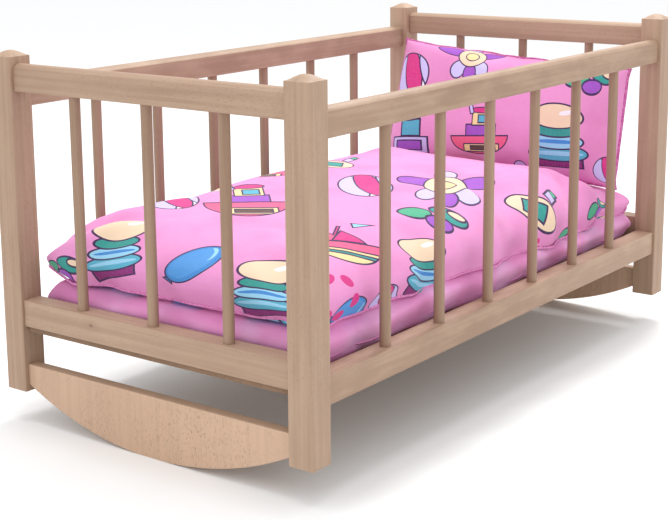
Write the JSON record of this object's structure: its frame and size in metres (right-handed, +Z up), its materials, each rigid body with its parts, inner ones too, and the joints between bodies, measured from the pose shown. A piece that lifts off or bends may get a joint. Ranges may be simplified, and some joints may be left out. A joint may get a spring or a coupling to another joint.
{
  "type": "rocking cradle",
  "caption": "Small wooden rocking cradle with barred sides, two rocker boards, a thin mattress, a puffed duvet and a pillow.",
  "frame": {"origin": "on the floor under the middle of the cradle, at the height where both rockers touch it", "axes": "+X from the foot end to the head end, +Y across from the near side to the far side, +Z up"},
  "size_m": [0.536, 0.29, 0.281],
  "materials": {
    "frame_wood": "bare sanded beech, fine grain with small flecks",
    "bar_wood": "bare turned beech, grain along the bar",
    "dowel_wood": "bare beech dowel",
    "base_sheet": "thin bare hardboard sheet",
    "pin_steel": "bright steel panel pins",
    "plain_cotton": "plain woven cotton, mottled pink and lilac",
    "printed_cotton": null
  },
  "bodies": {
    "frame": {"bar_far_1": "bar_wood", "bar_far_2": "bar_wood", "bar_far_3": "bar_wood", "bar_far_4": "bar_wood", "bar_far_5": "bar_wood", "bar_far_6": "bar_wood", "bar_foot_1": "bar_wood", "bar_foot_2": "bar_wood", "bar_foot_3": "bar_wood", "bar_head_1": "bar_wood", "bar_head_2": "bar_wood", "bar_head_3": "bar_wood", "bar_near_1": "bar_wood", "bar_near_2": "bar_wood", "bar_near_3": "bar_wood", "bar_near_4": "bar_wood", "bar_near_5": "bar_wood", "bar_near_6": "bar_wood", "base_panel": "base_sheet", "base_panel_pins": "pin_steel", "bottom_rail_dowels": "dowel_wood", "bottom_rail_far": "frame_wood", "bottom_rail_foot": "frame_wood", "bottom_rail_head": "frame_wood", "bottom_rail_near": "frame_wood", "post_foot_far": "frame_wood", "post_foot_near": "frame_wood", "post_head_far": "frame_wood", "post_head_near": "frame_wood", "rocker_dowels": "dowel_wood", "rocker_foot": "frame_wood", "rocker_head": "frame_wood", "top_rail_dowels": "dowel_wood", "top_rail_far": "frame_wood", "top_rail_foot": "frame_wood", "top_rail_head": "frame_wood", "top_rail_near": "frame_wood"},
    "mattress": {"mattress": "plain_cotton"},
    "duvet": {"duvet": "printed_cotton"},
    "pillow": {"pillow": "printed_cotton"}
  },
  "joints": [
    {"name": "mattress_lift", "type": "slide", "parent": "frame", "child": "mattress", "axis": [0, 0, 1], "range_m": [0, 0.21]},
    {"name": "duvet_lift", "type": "slide", "parent": "mattress", "child": "duvet", "axis": [0, 0, 1], "range_m": [0, 0.18]},
    {"name": "pillow_lift", "type": "slide", "parent": "duvet", "child": "pillow", "axis": [0, 0, 1], "range_m": [0, 0.16]}
  ]
}
